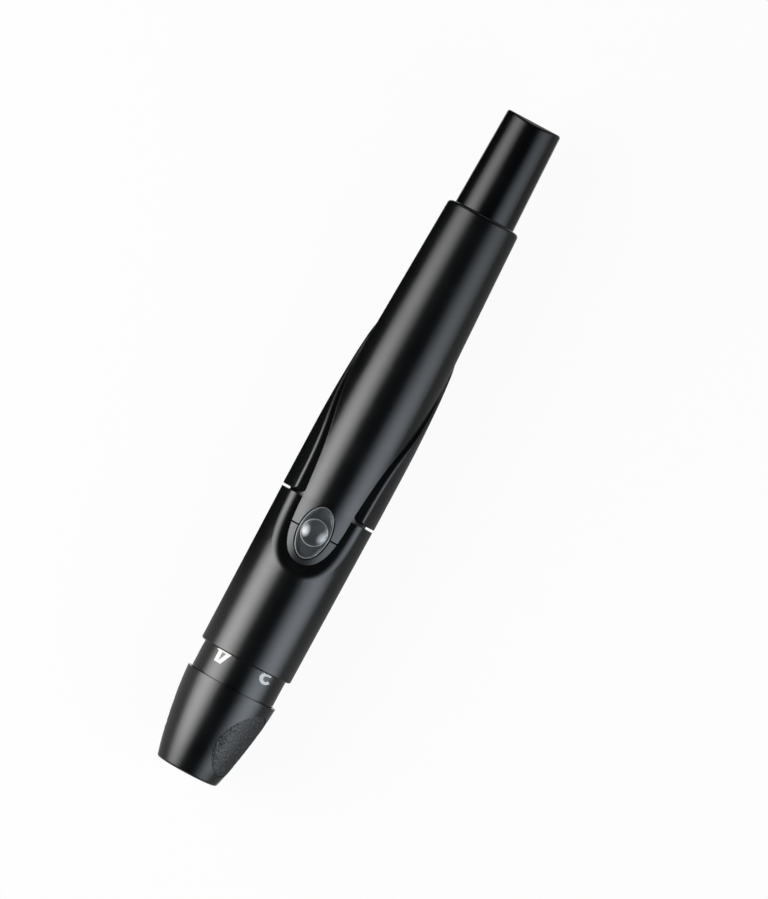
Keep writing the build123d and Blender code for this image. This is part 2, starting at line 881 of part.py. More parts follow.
# Plunger: hollow, with a flange that stops in the housing and a vaulted end
plunger_low = mouth_low - end_gap - flange_width
plunger_floor = overall_length - plunger_end_wall
vault_r = (plunger_tip_r**2 + vault_rise**2) / (2 * vault_rise)
with BuildPart() as plunger:
    turned(
        [
            (plunger_low, 0),
            (plunger_low, housing_bore_r - slide_gap),
            (plunger_low + flange_width, housing_bore_r - slide_gap),
            (plunger_low + flange_width, plunger_root_r),
            (collar_end, plunger_root_r),
            (overall_length, plunger_tip_r),
            (overall_length, 0),
        ]
    )
    with BuildSketch(side_plane) as vault:
        with Locations((overall_length - vault_r, 0)):
            Circle(vault_r)
        with Locations((overall_length / 2 - vault_r, 0)):
            Rectangle(overall_length, 2 * vault_r)
    extrude(vault.sketch, amount=2 * plunger_root_r, both=True, mode=Mode.INTERSECT)
    end_face = plunger.faces().sort_by(Axis.Y)[-1]
    fillet(end_face.edges(), plunger_edge_round)
    tube(plunger_low, plunger_floor, 0, plunger_bore_r, Mode.SUBTRACT)
    peg(radial_plane(pin_station, 90), pin_r + fit_gap / 2, -mouth_r, mouth_r, Mode.SUBTRACT)
plunger.part.label = "plunger"

# Two pins through the plunger's skirt that run in the helical slots
with BuildPart() as drive_pins:
    for side in (90, -90):
        peg(radial_plane(pin_station, side), pin_r, tension_bore_r + slide_gap, plunger_root_r - slide_gap)
drive_pins.part.label = "drive_pins"

# Drive spring of flat wire between the rotor and the tension sleeve
drive_coil_r = (rotor_bore_r + rotor_r) / 2 + drive_wire_height
drive_line = helix_about_pen(
    tension_front - end_gap - drive_wire_width / 2,
    drive_coil_r,
    drive_spring_length - drive_wire_width,
    360 * drive_spring_turns,
)
with BuildPart() as drive_spring:
    add(slot_leg(drive_line, drive_wire_width, drive_wire_height))
drive_spring.part.label = "drive_spring"

# Return spring of round wire between the tension sleeve and the plunger's end
return_low = tension_back + end_gap + return_wire_r
return_high = plunger_floor - end_gap - return_wire_r
return_line = helix_about_pen(return_high, helix_r, return_high - return_low, 360 * return_spring_turns)
with BuildPart() as return_spring:
    with BuildSketch(Plane(origin=return_line @ 0, z_dir=return_line % 0)) as wire:
        RegularPolygon(return_wire_r, 6)
    sweep(wire.sketch, path=return_line, is_frenet=True)
return_spring.part.label = "return_spring"

os.makedirs("parts", exist_ok=True)
export_step(nose_cone.part, "parts/nose_cone.step")
export_step(number_ring.part, "parts/number_ring.step")
export_step(click_ring.part, "parts/click_ring.step")
export_step(cap_sleeve.part, "parts/cap_sleeve.step")
export_step(front_chassis.part, "parts/front_chassis.step")
export_step(rear_housing.part, "parts/rear_housing.step")
export_step(release_button.part, "parts/release_button.step")
export_step(button_lens.part, "parts/button_lens.step")
export_step(button_spring.part, "parts/button_spring.step")
export_step(release_catch.part, "parts/release_catch.step")
export_step(catch_pin.part, "parts/catch_pin.step")
export_step(lancet_holder.part, "parts/lancet_holder.step")
export_step(jaw_ring.part, "parts/jaw_ring.step")
export_step(traveller_pin.part, "parts/traveller_pin.step")
export_step(drive_rotor.part, "parts/drive_rotor.step")
export_step(tension_sleeve.part, "parts/tension_sleeve.step")
export_step(rear_bearing.part, "parts/rear_bearing.step")
export_step(sleeve_clip.part, "parts/sleeve_clip.step")
export_step(plunger.part, "parts/plunger.step")
export_step(drive_pins.part, "parts/drive_pins.step")
export_step(drive_spring.part, "parts/drive_spring.step")
export_step(return_spring.part, "parts/return_spring.step")
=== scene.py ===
# %% [markdown]
# # Lancing device, photographed from above
# The part is a pen-shaped finger-pricker in black plastic, 115 mm long, that lies on its back with the release
# button up. Its solids come from the CAD model and keep their shapes. This lesson gives each of them a finish, adds
# the printed numbers of the dial and the stippled finger grips as surfaces, puts surfaces in the place of three
# solids (a rounded clear window for the button, and two springs), and rebuilds the camera and the two
# soft lamps of the photo.

# %% Load the frame
import json

import bpy
import numpy as np
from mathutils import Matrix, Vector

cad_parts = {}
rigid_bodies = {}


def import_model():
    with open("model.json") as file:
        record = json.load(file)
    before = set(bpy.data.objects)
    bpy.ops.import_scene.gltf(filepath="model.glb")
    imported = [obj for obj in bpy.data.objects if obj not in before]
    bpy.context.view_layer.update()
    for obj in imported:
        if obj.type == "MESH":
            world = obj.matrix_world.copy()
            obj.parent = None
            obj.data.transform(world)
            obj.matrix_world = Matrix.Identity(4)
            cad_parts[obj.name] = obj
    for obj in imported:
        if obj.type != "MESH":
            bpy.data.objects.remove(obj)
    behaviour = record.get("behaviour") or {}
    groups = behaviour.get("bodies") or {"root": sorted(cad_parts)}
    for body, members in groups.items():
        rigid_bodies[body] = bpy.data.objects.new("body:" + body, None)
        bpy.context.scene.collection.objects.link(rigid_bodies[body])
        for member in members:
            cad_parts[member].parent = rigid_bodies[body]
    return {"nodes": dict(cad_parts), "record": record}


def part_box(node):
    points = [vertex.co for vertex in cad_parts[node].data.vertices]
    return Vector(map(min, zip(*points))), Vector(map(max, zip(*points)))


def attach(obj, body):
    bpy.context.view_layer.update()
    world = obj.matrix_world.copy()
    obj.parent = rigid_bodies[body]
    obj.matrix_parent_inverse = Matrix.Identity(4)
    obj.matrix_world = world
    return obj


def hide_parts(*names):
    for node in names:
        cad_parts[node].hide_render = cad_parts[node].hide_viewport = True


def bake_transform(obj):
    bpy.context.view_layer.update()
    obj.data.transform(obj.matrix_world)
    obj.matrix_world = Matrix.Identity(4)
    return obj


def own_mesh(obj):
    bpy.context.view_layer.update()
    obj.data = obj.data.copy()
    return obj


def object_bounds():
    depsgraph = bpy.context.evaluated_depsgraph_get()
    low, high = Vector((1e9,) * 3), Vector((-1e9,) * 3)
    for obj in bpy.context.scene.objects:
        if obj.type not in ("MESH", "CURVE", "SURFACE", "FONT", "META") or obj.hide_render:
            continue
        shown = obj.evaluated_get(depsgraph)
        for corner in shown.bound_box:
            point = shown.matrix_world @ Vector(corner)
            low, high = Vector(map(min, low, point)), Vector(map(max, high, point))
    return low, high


mm = 0.001
for leftover in list(bpy.data.objects):
    bpy.data.objects.remove(leftover)
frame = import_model()
cad_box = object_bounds()
scene = bpy.context.scene
print("frame:", len(frame["nodes"]), "solids, length", round((cad_box[1][1] - cad_box[0][1]) / mm, 1), "mm")

# %% [markdown]
# ## Node helpers
# Three short functions keep the materials readable. One feeds a socket, with a value or with a wire from another
# node. One adds a node and feeds the sockets that are named. One does a sum.

# %% Node helpers
def feed(tree, socket, value):
    """A socket of another node is wired in, and anything else is set as the socket's own value."""
    if isinstance(value, bpy.types.NodeSocket):
        tree.links.new(value, socket)
    else:
        socket.default_value = value


def add_node(tree, kind, settings=None, **inputs):
    """Adds one node. Settings are its options, and inputs its sockets by name, with _ for a blank."""
    node = tree.nodes.new("ShaderNode" + kind)
    for name, value in (settings or {}).items():
        setattr(node, name, value)
    for name, value in inputs.items():
        feed(tree, node.inputs[name.replace("_", " ")], value)
    return node


def calc(tree, operation, *values):
    """One sum on one to three values, each a number or a socket."""
    node = add_node(tree, "Math", {"operation": operation})
    for socket, value in zip(node.inputs, values):
        feed(tree, socket, value)
    return node.outputs[0]


# %% [markdown]
# ## Moulded skin
# All the plastics share one effect. A steel mould leaves a fine even grain on the plastic, and the skin's tone
# and gloss drift a little over a few millimetres. The group puts out a colour, a roughness and a height, and each
# plastic sets its own colour, roughness and grain.

# %% Moulded skin group
drifts_per_metre, tone_drift, gloss_drift = 160.0, 0.5, 0.12
skin = bpy.data.node_groups.new("moulded skin", "ShaderNodeTree")
group_sockets = {"INPUT": ("Colour", "Roughness", "Grains per mm"), "OUTPUT": ("Colour", "Roughness", "Height")}
for way, names in group_sockets.items():
    for name in names:
        kind = "NodeSocketColor" if name == "Colour" else "NodeSocketFloat"
        skin.interface.new_socket(name, in_out=way, socket_type=kind)
given = skin.nodes.new("NodeGroupInput").outputs
result = skin.nodes.new("NodeGroupOutput").inputs
place = add_node(skin, "TexCoord").outputs["Object"]
grains_per_metre = calc(skin, "DIVIDE", given["Grains per mm"], mm)
grain = add_node(skin, "TexNoise", Vector=place, Scale=grains_per_metre, Detail=2.0).outputs["Fac"]
drift = add_node(skin, "TexNoise", Vector=place, Scale=drifts_per_metre, Detail=3.0).outputs["Fac"]
drift_off = calc(skin, "SUBTRACT", drift, 0.5)
brightness = calc(skin, "MULTIPLY_ADD", drift_off, tone_drift, 1.0)
tone = add_node(skin, "HueSaturation", Color=given["Colour"], Value=brightness)
rough_drift = calc(skin, "MULTIPLY", drift_off, gloss_drift)
skin.links.new(tone.outputs["Color"], result["Colour"])
skin.links.new(calc(skin, "ADD", given["Roughness"], rough_drift), result["Roughness"])
skin.links.new(grain, result["Height"])
print("group:", skin.name, "with", len(skin.nodes), "nodes")

# %% [markdown]
# ## Finishes
# Each material slot of the part gets one finish. The black plastics are nearly black and live from their
# reflections. The clear window is glass-like, with faint smears in its gloss. Its rounded edge and the dome's rim
# get two extra finishes that are painted pale and let less light through. This is a painted highlight that stands
# in for the light that the edges of clear plastic gather. The steel is bright and drawn.

# %% Finishes
finishes = {}
plastic_ior, clear_ior, polish_ior = 1.62, 1.58, 1.70
draw_marks_per_metre, smears_per_metre = 2600.0, 700.0
steel_smoothest, steel_roughest = 0.16, 0.38


def new_finish(slot):
    """An empty material for a slot, and its node tree and shader."""
    material = bpy.data.materials.new(slot.replace("_", " "))
    material.use_nodes = True
    finishes[slot] = material
    return material.node_tree, material.node_tree.nodes["Principled BSDF"]


def moulded(slot, colour, roughness, grains_per_mm, depth):
    """A moulded plastic: the skin group drives colour, roughness and a bump as deep as the mould's grain."""
    tree, shader = new_finish(slot)
    look = add_node(tree, "Group", {"node_tree": skin}, Colour=(*colour, 1.0), Roughness=roughness,
                    Grains_per_mm=grains_per_mm)
    bump = add_node(tree, "Bump", Height=look.outputs["Height"], Distance=depth)
    feed(tree, shader.inputs["Base Color"], look.outputs["Colour"])
    feed(tree, shader.inputs["Roughness"], look.outputs["Roughness"])
    feed(tree, shader.inputs["Normal"], bump.outputs["Normal"])
    shader.inputs["IOR"].default_value = plastic_ior


# Slot, colour, roughness, grains per millimetre, depth of the grain
moulded("black_satin", (0.0019, 0.0021, 0.0025), 0.25, 5.0, 0.004 * mm)
moulded("black_gloss", (0.0012, 0.0013, 0.0016), 0.21, 4.0, 0.002 * mm)
moulded("black_stipple", (0.0060, 0.0062, 0.0068), 0.42, 9.0, 0.004 * mm)
moulded("dark_grey", (0.012, 0.012, 0.014), 0.34, 6.0, 0.002 * mm)
moulded("smoke_grey", (0.140, 0.146, 0.152), 0.42, 6.0, 0.003 * mm)
moulded("grey_nylon", (0.420, 0.420, 0.430), 0.48, 5.0, 0.005 * mm)
moulded("white_plastic", (0.820, 0.820, 0.800), 0.45, 6.0, 0.002 * mm)

tree, shader = new_finish("spring_steel")
place = add_node(tree, "TexCoord").outputs["Object"]
draw_marks = add_node(tree, "TexNoise", Vector=place, Scale=draw_marks_per_metre, Detail=4.0).outputs["Fac"]
marks_rough = add_node(tree, "MapRange", Value=draw_marks, To_Min=steel_smoothest,
                       To_Max=steel_roughest).outputs["Result"]
feed(tree, shader.inputs["Roughness"], marks_rough)
shader.inputs["Base Color"].default_value = (0.60, 0.60, 0.62, 1.0)
shader.inputs["Metallic"].default_value = 1.0


def clear_plastic(slot, colour, transmission, rough_from, rough_to, polish=0.0):
    """A clear plastic: light passes by the share given, faint smears change how sharp its gloss is, and polish is
    the share of a bright coat."""
    tree, shader = new_finish(slot)
    place = add_node(tree, "TexCoord").outputs["Object"]
    smears = add_node(tree, "TexNoise", Vector=place, Scale=smears_per_metre, Detail=3.0).outputs["Fac"]
    smear_rough = add_node(tree, "MapRange", Value=smears, To_Min=rough_from, To_Max=rough_to).outputs["Result"]
    feed(tree, shader.inputs["Roughness"], smear_rough)
    shader.inputs["Base Color"].default_value = (*colour, 1.0)
    shader.inputs["Transmission Weight"].default_value = transmission
    shader.inputs["IOR"].default_value = clear_ior
    shader.inputs["Coat Weight"].default_value = polish
    shader.inputs["Coat IOR"].default_value = polish_ior


# Slot, colour, share of the light that passes, least and most roughness
clear_plastic("clear", (0.93, 0.95, 0.96), 1.0, 0.06, 0.14)
clear_plastic("clear_dome", (0.93, 0.95, 0.96), 1.0, 0.03, 0.08, polish=1.0)
# The next two finishes are the window's edge and the dome's rim. They are painted pale and let less light through, a
# painted highlight for their bright lines.
clear_plastic("window_edge_painted_highlight", (0.40, 0.43, 0.44), 0.55, 0.25, 0.40)
clear_plastic("dome_rim_painted_highlight", (0.88, 0.91, 0.93), 0.15, 0.20, 0.35, polish=1.0)

for part in frame["record"]["subparts"]:
    solid = frame["nodes"][part["node"]]
    solid.data.materials.clear()
    solid.data.materials.append(finishes[part["material_slot"]])
print("finishes:", ", ".join(finishes))

# %% [markdown]
# ## Places on the pen
# An added piece is placed by three measures: the station is the way along the pen from the nose's end, the radius
# is the distance from the pen's axis, and the angle goes round the axis from straight up towards the right.

# %% Places on the pen
nose_end = cad_box[0][1]
plunger_low, plunger_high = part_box("plunger")
axis_height = (plunger_low[2] + plunger_high[2]) / 2


def on_pen(station, radius, angle):
    """The angle picks the direction round the axis, and the point stands out from the axis by the radius."""
    station, radius, angle = np.broadcast_arrays(station, radius, angle)
    across, up = radius * np.sin(angle), radius * np.cos(angle)
    return np.stack([across, nose_end + station, axis_height + up], axis=-1)


def add_piece(name, points, faces, body, slot, finish=None):
    """Points and faces become a smooth piece with a slot's finish or a kin of it. It rides on a body, if given."""
    mesh = bpy.data.meshes.new(name)
    mesh.from_pydata(points.tolist(), [], faces)
    mesh.shade_smooth()
    mesh.materials.append(finishes[finish or slot])
    piece = bpy.data.objects.new(name, mesh)
    scene.collection.objects.link(piece)
    if body:
        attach(piece, body)
    print("piece:", name, len(mesh.polygons), "faces")
    return piece


def grid_faces(rows, columns, closed=False):
    """Four neighbours in a grid of points make one face. A closed grid also joins its last column to its first."""
    index = np.arange(rows * columns).reshape(rows, columns)
    if closed:
        index = np.hstack([index, index[:, :1]])
    corners = index[:-1, :-1], index[:-1, 1:], index[1:, 1:], index[1:, :-1]
    return np.stack(corners, axis=-1).reshape(-1, 4).tolist()


def with_ends(rows, columns):
    """A closed grid whose first and last rows are filled, each with one face."""
    last = (rows - 1) * columns
    ends = [list(range(columns))[::-1], list(range(last, last + columns))]
    return grid_faces(rows, columns, closed=True) + ends


# %% [markdown]
# ## Printed dial numbers
# The ring under the cap carries the depth settings 1 to 6 in white. They stand about a sixth of a turn apart and
# climb with the dial's screw, so that each one stops at the same height under the cap's edge. Their tops point to
# the nose, and the cap hides their feet. Each digit is drawn with a broad pen: its strokes are lines of points,
# straight or round, and each stroke is widened to a ribbon and wrapped round the ring. The strokes are drawn in
# millimetres, from the middle of the digit's foot.

# %% Printed dial numbers
ring_radius, ink = 7.1 * mm, 0.015 * mm
digit_height, pen_across, pen_along = 3.0, 0.72, 0.50
stroke_step, arc_points = 0.1, 28
digit_top_station, middle_turn, middle_number = 17.73 * mm, np.radians(2.75), 3.5
digit_step, digit_climb = np.radians(66.0), 0.3 * mm


def line(*corners):
    """A stroke along straight pieces, with points every tenth of a millimetre or so."""
    corners = np.array(corners, dtype=float)
    lengths = np.hypot(*np.diff(corners, axis=0).T)
    marks = np.concatenate([[0], np.cumsum(lengths)])
    way = np.linspace(0, marks[-1], int(marks[-1] / stroke_step) + 2)
    return np.stack([np.interp(way, marks, corners[:, side]) for side in (0, 1)], axis=-1)


def arc(middle, half_width, half_height, start, end):
    """A stroke along part of an oval, between two angles in degrees."""
    turn = np.radians(np.linspace(start, end, arc_points))
    return np.stack([middle[0] + half_width * np.cos(turn), middle[1] + half_height * np.sin(turn)], axis=-1)


digit_strokes = {
    1: [line((-0.70, 2.20), (0.20, 2.75)), line((0.20, 3.0), (0.20, 0.0))],
    2: [np.vstack([arc((0.0, 1.95), 0.85, 0.78, 165, -25), line((0.70, 1.50), (-0.85, 0.27), (1.1, 0.27))])],
    3: [np.vstack([arc((0.0, 2.06), 0.88, 0.70, 155, -90), line((-0.05, 1.36), (-0.75, 1.36))]),
        arc((0.0, 0.80), 0.94, 0.56, 90, -155)],
    4: [line((0.08, 3.2), (-1.05, 0.98)), line((-1.40, 0.98), (1.40, 0.98)), line((0.60, 3.0), (0.60, 0.0))],
    5: [line((1.0, 2.73), (-0.65, 2.73)), line((-0.68, 3.0), (-0.75, 1.55)),
        arc((0.0, 1.02), 0.92, 0.75, 135, -155)],
    6: [arc((0.65, 1.00), 1.48, 1.73, 90, 180), arc((0.0, 1.00), 0.85, 0.73, 0, 360)],
}


def ribbon(stroke):
    """A stroke widened to both sides, square to its direction, by half the width of a pen that is broad across."""
    heading = np.gradient(stroke, axis=0)
    heading /= np.linalg.norm(heading, axis=1, keepdims=True)
    aside = np.stack([-heading[:, 1] * pen_across, heading[:, 0] * pen_along], axis=-1) / 2
    return np.stack([stroke - aside, stroke + aside], axis=1)


ring_points, ring_faces, count = [], [], 0
for number, strokes in digit_strokes.items():
    for stroke in strokes:
        flat = ribbon(stroke)
        flat[..., 1] = np.clip(flat[..., 1], 0, digit_height)
        flat *= mm
        steps = number - middle_number
        station = digit_top_station - digit_climb * steps + digit_height * mm - flat[..., 1]
        angle = middle_turn - digit_step * steps - flat[..., 0] / ring_radius
        ring_points.append(on_pen(station, ring_radius + ink, angle).reshape(-1, 3))
        ring_faces += (np.array(grid_faces(len(flat), 2)) + count).tolist()
        count += 2 * len(flat)
add_piece("dial_numbers", np.vstack(ring_points), ring_faces, "dial", "white_plastic")

# %% [markdown]
# ## Stippled finger grips
# The nose has a shallow oval on each side for a fingertip. Its floor is rough like fine sand. Each grip is a grid
# that fills the oval: a square grid pressed into a disc, stretched to the oval, laid on the nose's curve, and
# lifted by a field of small random bumps that fades out at the rim.

# %% Stippled finger grips
nose_length, nose_tip_radius, nose_base_radius, nose_swell = 15.0 * mm, 5.2 * mm, 7.7 * mm, 0.4 * mm
grip_station, grip_half_width, grip_half_length, grip_depth = 7.5 * mm, 4.6 * mm, 5.8 * mm, 0.12 * mm
grip_clear, grip_fill, rim_fade = 0.02 * mm, 0.985, 0.03
grip_rows, grip_columns = 200, 160
bump_spacing, bump_height = 0.19 * mm, 0.13 * mm
net_turns, net_half = (0.35, 1.15), 40


def nose_radius(station):
    """The nose widens in a straight line from tip to base and swells in the middle by a parabola."""
    way = station / nose_length
    return nose_tip_radius + (nose_base_radius - nose_tip_radius) * way + 4 * nose_swell * way * (1 - way)


def stipple(along, across, seed):
    """Two square nets of random heights lie across each other. Between its knots a net is blended softly, and the
    product of the two nets stands up in single grains."""
    grains = 1.0
    for net, net_turn in enumerate(net_turns):
        knots = np.random.default_rng(seed + net).random((2 * net_half, 2 * net_half))
        row = (along * np.cos(net_turn) - across * np.sin(net_turn)) / bump_spacing + net_half
        column = (along * np.sin(net_turn) + across * np.cos(net_turn)) / bump_spacing + net_half
        low_row, low_column = np.floor(row).astype(int), np.floor(column).astype(int)
        part_row, part_column = (3 * part**2 - 2 * part**3 for part in (row - low_row, column - low_column))
        near = knots[low_row, low_column] * (1 - part_row) + knots[low_row + 1, low_column] * part_row
        far = knots[low_row, low_column + 1] * (1 - part_row) + knots[low_row + 1, low_column + 1] * part_row
        grains = grains * (near * (1 - part_column) + far * part_column)
    return grains


for name, turn, seed in (("front_grip", 60.0, 4), ("back_grip", 240.0, 9)):
    rows, columns = np.meshgrid(np.linspace(-1, 1, grip_rows), np.linspace(-1, 1, grip_columns), indexing="ij")
    disc_along = rows * np.sqrt(1 - columns**2 / 2)
    disc_across = columns * np.sqrt(1 - rows**2 / 2)
    fade = np.clip((1 - np.hypot(disc_along, disc_across)) / rim_fade, 0, 1)
    along, across = grip_fill * grip_half_length * disc_along, grip_fill * grip_half_width * disc_across
    station = grip_station + along
    lift = bump_height * fade * stipple(along, across, seed)
    radius = nose_radius(station) - grip_depth + grip_clear + lift
    angle = np.radians(turn) + np.arcsin(across / radius)
    points = on_pen(station, radius, angle).reshape(-1, 3)
    add_piece(name, points, grid_faces(grip_rows, grip_columns), "dial", "black_satin", "black_stipple")

# %% [markdown]
# ## Clear button window
# The button's window is an oval of clear plastic that follows the barrel's curve, with a round dome in the
# middle. Its edges are rounded, so that they catch the light in thin bright lines. The outer edge and the dome's
# rim are also painted pale as a painted highlight. It is one closed grid of rings: out over the flat underside, up
# round the edge, in over the curved top to the dome, up the dome's low wall, and over the dome to its middle.

# %% Clear button window
window_low, window_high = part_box("button_lens")
half_across = (window_high[0] - window_low[0]) / 2
half_along = (window_high[1] - window_low[1]) / 2
button_station = (window_high[1] + window_low[1]) / 2 - nose_end
underside = window_low[2] - axis_height
window_crown, window_curve = 6.98 * mm, 9.5 * mm
dome_radius, dome_rise = 2.15 * mm, 0.86 * mm
dome_ball = (dome_radius**2 + dome_rise**2) / (2 * dome_rise)
edge_round, rim_round, rim_degrees = 0.16 * mm, 0.15 * mm, 65
base_rings, edge_rings, top_rings, rim_rings, dome_rings = 6, 9, 14, 7, 15
window_columns = 160
round_way = np.linspace(0, 2 * np.pi, window_columns, endpoint=False)


def window_top(across):
    """Away from the dome the top is an arch along the pen: it falls from the crown as a circle does, and a little
    less than the barrel."""
    return window_crown - window_curve + np.sqrt(window_curve**2 - across**2)


def dome_height(reach):
    """The dome is a cap of a ball that stands on the top line of the arch."""
    return window_crown + dome_rise - dome_ball + np.sqrt(dome_ball**2 - reach**2)


def oval_ring(across_reach, along_reach, height):
    """A ring of points at two half widths, with a height that may change round it."""
    across, along = across_reach * np.cos(round_way), along_reach * np.sin(round_way)
    return across, along, height(across) if callable(height) else np.full(window_columns, height)


rings = [oval_ring(half_across * way, half_along * way, underside) for way in np.linspace(0.0, 1.0, base_rings)]
for turn in np.radians(np.linspace(0, 90, edge_rings)):
    inset, drop = edge_round * (1 - np.cos(turn)), edge_round * (1 - np.sin(turn))
    rings.append(oval_ring(half_across - inset, half_along - inset, lambda across: window_top(across) - drop))
for way in np.linspace(0.0, 1.0, top_rings + 1)[1:]:
    across_reach = (1 - way) * (half_across - edge_round) + way * dome_radius
    along_reach = (1 - way) * (half_along - edge_round) + way * dome_radius
    rings.append(oval_ring(across_reach, along_reach, window_top))
for turn in np.radians(np.linspace(0, rim_degrees, rim_rings)):
    inset, drop = rim_round * (1 - np.cos(turn)), rim_round * (1 - np.sin(turn))
    reach = dome_radius - inset
    rings.append(oval_ring(reach, reach, dome_height(reach) + rim_round / 2 - drop))
for way in np.linspace(1.0, 0.0, dome_rings + 1)[1:]:
    reach = way * (dome_radius - rim_round / 2)
    rings.append(oval_ring(reach, reach, dome_height(reach) + rim_round / 2))
across, along, height = (np.array(part) for part in zip(*rings))
points = np.stack([across, nose_end + button_station + along, axis_height + height], axis=-1).reshape(-1, 3)
window = add_piece("button_window", points, grid_faces(len(rings), window_columns, closed=True), "button", "clear")
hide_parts("button_lens")
# The outer edge and the dome's rim get the pale finishes, a painted highlight, and the dome gets the polished clear
# one.
for finish in ("window_edge_painted_highlight", "dome_rim_painted_highlight", "clear_dome"):
    window.data.materials.append(finishes[finish])
edge_from, top_from = base_rings + 2, base_rings + edge_rings - 1
rim_from = top_from + top_rings
dome_from = rim_from + rim_rings - 1
finish_of_ring = np.zeros(len(rings) - 1, dtype=np.int32)
finish_of_ring[edge_from:top_from], finish_of_ring[rim_from:dome_from], finish_of_ring[dome_from:] = 1, 2, 3
window.data.polygons.foreach_set("material_index", np.repeat(finish_of_ring, window_columns))

# %% [markdown]
# ## Coil spring
# Two springs inside are pressed when the pen is used, and each is rebuilt here as a piece of its own. The first
# is the coil of round wire under the plunger's end. In the pen it shortens evenly towards its front end by the
# plunger's travel; here it is one fixed coil that rides on the housing.

# %% Coil spring
coil_low, coil_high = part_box("return_spring")
coil_turns, wire_radius = 7, 0.35 * mm
coil_radius = coil_high[0] - wire_radius
rows_per_turn, wire_columns = 36, 12
coil_rows = rows_per_turn * coil_turns + 1
coil_way = np.linspace(0, 1, coil_rows)[:, None]
wire_turn = np.linspace(0, 2 * np.pi, wire_columns, endpoint=False)
coil_back = coil_high[1] - nose_end - wire_radius
coil_span = coil_high[1] - coil_low[1] - 2 * wire_radius

# The wire's middle goes round the axis from the right side while it goes forward, and its skin is a round of points
coil_points = on_pen(coil_back - coil_span * coil_way + wire_radius * np.sin(wire_turn),
                     coil_radius + wire_radius * np.cos(wire_turn),
                     np.pi / 2 - 2 * np.pi * coil_turns * coil_way)
coil = add_piece("return_coil", coil_points.reshape(-1, 3), with_ends(coil_rows, wire_columns), "housing",
                 "spring_steel")
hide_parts("return_spring")
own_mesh(coil)

# %% [markdown]
# ## Leaf spring
# The second is the leaf under the button. It is held in the chassis at its root, and in the pen it bends down with
# the button at its tip; here it is a flat bar that rises from the held part to the tip in a straight line.

# %% Leaf spring
leaf_low, leaf_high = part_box("button_spring")
leaf_thickness, leaf_held, leaf_grip = 0.2 * mm, 1.55 * mm, 0.35 * mm
leaf_rows, leaf_columns, leaf_squareness = 25, 24, 0.25
leaf_way = np.linspace(leaf_low[1], leaf_high[1], leaf_rows)[:, None]
leaf_free = leaf_low[1] + leaf_held
leaf_rise = (leaf_high[2] - leaf_low[2] - leaf_thickness) * np.clip(
    (leaf_way - leaf_free) / (leaf_high[1] - leaf_free), 0, 1)
leaf_turn = np.linspace(0, 2 * np.pi, leaf_columns, endpoint=False)


def squared(part):
    """A sine or cosine whose waves are pressed to nearly square ones, which turns a circle into a rounded oblong."""
    return np.sign(part) * np.abs(part) ** leaf_squareness


leaf_points = np.stack(np.broadcast_arrays(
    leaf_high[0] * squared(np.cos(leaf_turn)), leaf_way,
    leaf_low[2] + leaf_rise + leaf_thickness * (1 + squared(np.sin(leaf_turn))) / 2), axis=-1)
leaf = add_piece("button_leaf", leaf_points.reshape(-1, 3), with_ends(leaf_rows, leaf_columns), None, "spring_steel")
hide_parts("button_spring")
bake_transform(leaf)

# %% [markdown]
# ## Floor
# The photo's ground is plain white. The floor is a white sheet: most of it shines white for the camera and in
# reflections, and the rest is lit by the lamps and so keeps a faint shadow of the pen.

# %% Floor
floor_half, floor_grey, white_share = 4.0, 0.86, 0.94
floor_mesh = bpy.data.meshes.new("floor")
floor_mesh.from_pydata([(-floor_half, -floor_half, 0), (floor_half, -floor_half, 0), (floor_half, floor_half, 0),
                        (-floor_half, floor_half, 0)], [], [(0, 1, 2, 3)])
floor = bpy.data.objects.new("floor", floor_mesh)
scene.collection.objects.link(floor)
floor_finish = bpy.data.materials.new("white sheet")
floor_finish.use_nodes = True
tree = floor_finish.node_tree
tree.nodes.clear()
rays = add_node(tree, "LightPath").outputs
seen = calc(tree, "MAXIMUM", rays["Is Camera Ray"], calc(tree, "MAXIMUM", rays["Is Glossy Ray"],
                                                         rays["Is Transmission Ray"]))
lit = add_node(tree, "BsdfDiffuse", Color=(floor_grey, floor_grey, floor_grey, 1.0)).outputs["BSDF"]
shining = add_node(tree, "Emission", Color=(1.0, 1.0, 1.0, 1.0), Strength=1.0).outputs["Emission"]
mix = add_node(tree, "MixShader", Fac=calc(tree, "MULTIPLY", seen, white_share))
tree.links.new(lit, mix.inputs[1])
tree.links.new(shining, mix.inputs[2])
add_node(tree, "OutputMaterial", Surface=mix.outputs["Shader"])
floor_mesh.materials.append(floor_finish)
print("floor:", 2 * floor_half, "m square")

# %% [markdown]
# ## Lamps
# The pen is lit by two large soft lamps, one on each side and both nearer to the nose. Each is brightest in its
# middle and fades out to all sides, as a cloth in front of a bulb does. So it shows in the curved plastic as one
# long streak with soft edges that dims towards the plunger, and the dark room stays between the two streaks. The
# left lamp is stronger, and the right one is a little cooler.

# %% Lamps
lamp_distance, lamp_along = 0.40, -0.11
lamp_width, lamp_length = 0.50, 0.70
fade_across, fade_along, glow_from = 0.145, 0.155, 0.08


